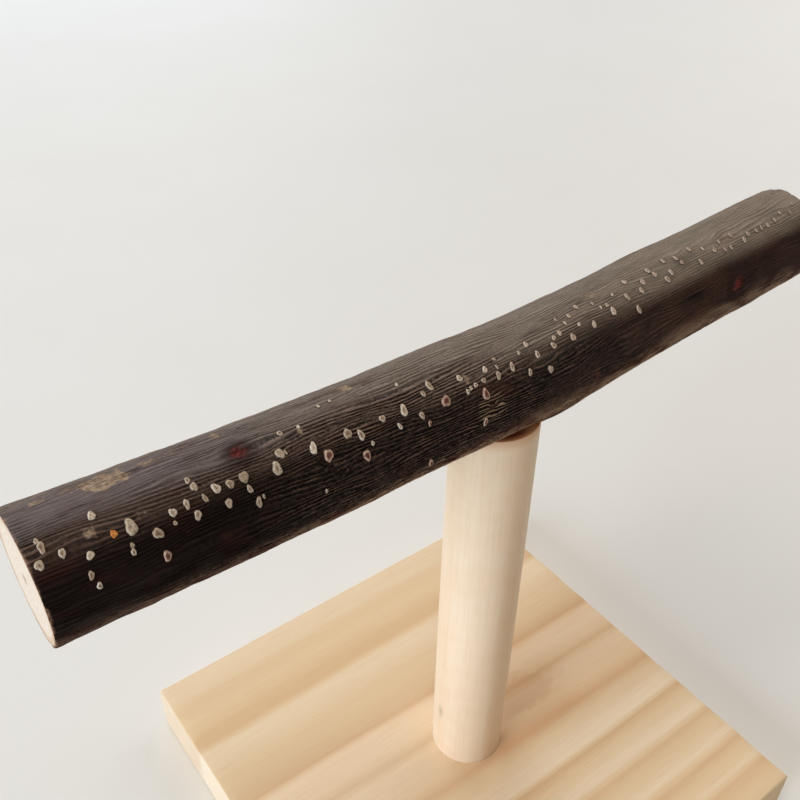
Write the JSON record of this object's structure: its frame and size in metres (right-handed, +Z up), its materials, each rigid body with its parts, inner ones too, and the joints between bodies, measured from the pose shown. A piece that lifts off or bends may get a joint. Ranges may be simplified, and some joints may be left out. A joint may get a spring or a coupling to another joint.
{
  "type": "tabletop bird perch",
  "caption": "Tabletop T-shaped bird perch: a natural branch with its bark on, fixed across a round wooden post that stands in a square pine board.",
  "frame": {"origin": "middle of the board's underside, on the post's axis", "axes": "+Z up the post; X runs along the branch and along the board's grain; Y is square to the branch"},
  "size_m": [0.236, 0.15, 0.18],
  "materials": {
    "pine_board": "planed and sanded pine, unfinished, matt",
    "pale_dowel": "turned pale wood, sanded smooth, matt",
    "screw_steel": "zinc plated screw steel",
    "branch_wood": "fresh sawn branch wood, matt",
    "bark": "dark furrowed bark with pale raised pores, satin on the ridges"
  },
  "bodies": {
    "root": {"base_board": "pine_board", "post": "pale_dowel", "base_screw": "screw_steel", "branch_screw": "screw_steel", "branch_wood": "branch_wood", "branch_bark": "bark"}
  },
  "joints": []
}
